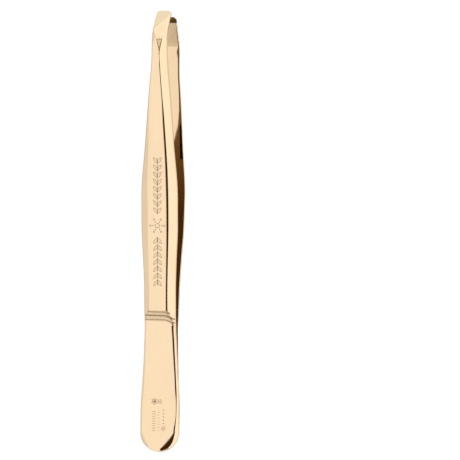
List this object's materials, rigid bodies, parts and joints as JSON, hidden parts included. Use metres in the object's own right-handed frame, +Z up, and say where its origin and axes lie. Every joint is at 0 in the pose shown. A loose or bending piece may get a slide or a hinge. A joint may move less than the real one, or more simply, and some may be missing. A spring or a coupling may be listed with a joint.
{
  "type": "claw-tipped stamp tongs",
  "caption": "Slim gold-plated spring tongs: flat handle, stepped shoulders, bevelled arms and claw tips bent inwards, which close as the arms are squeezed.",
  "frame": {"origin": "middle of the base, with the tongs lying on one side as they rest on a table", "axes": "+Y along the tongs from the welded handle end to the tips, +Z up across their width, X the way the arms open with the front arm at -X"},
  "size_m": [0.0212, 0.095, 0.0085],
  "materials": {
    "gold_plate": "polished gold plate over spring steel",
    "weld_steel": "fused steel, hidden in the seam"
  },
  "bodies": {
    "handle": {"front_leaf": "gold_plate", "rear_leaf": "gold_plate", "spot_weld_1": "weld_steel", "spot_weld_2": "weld_steel"},
    "front_arm": {"front_blade": "gold_plate"},
    "rear_arm": {"rear_blade": "gold_plate"}
  },
  "joints": [
    {"name": "front_arm_flex", "type": "hinge", "parent": "handle", "child": "front_arm", "pos_m": [-0.00046, -0.0305, 0.00425], "axis": [0, 0, -1], "range_deg": [0, 2.66], "stiffness_Nm_per_rad": 0.6},
    {"name": "rear_arm_flex", "type": "hinge", "parent": "handle", "child": "rear_arm", "pos_m": [0.00046, -0.0305, 0.00425], "axis": [0, 0, 1], "range_deg": [0, 2.66], "stiffness_Nm_per_rad": 0.6}
  ]
}
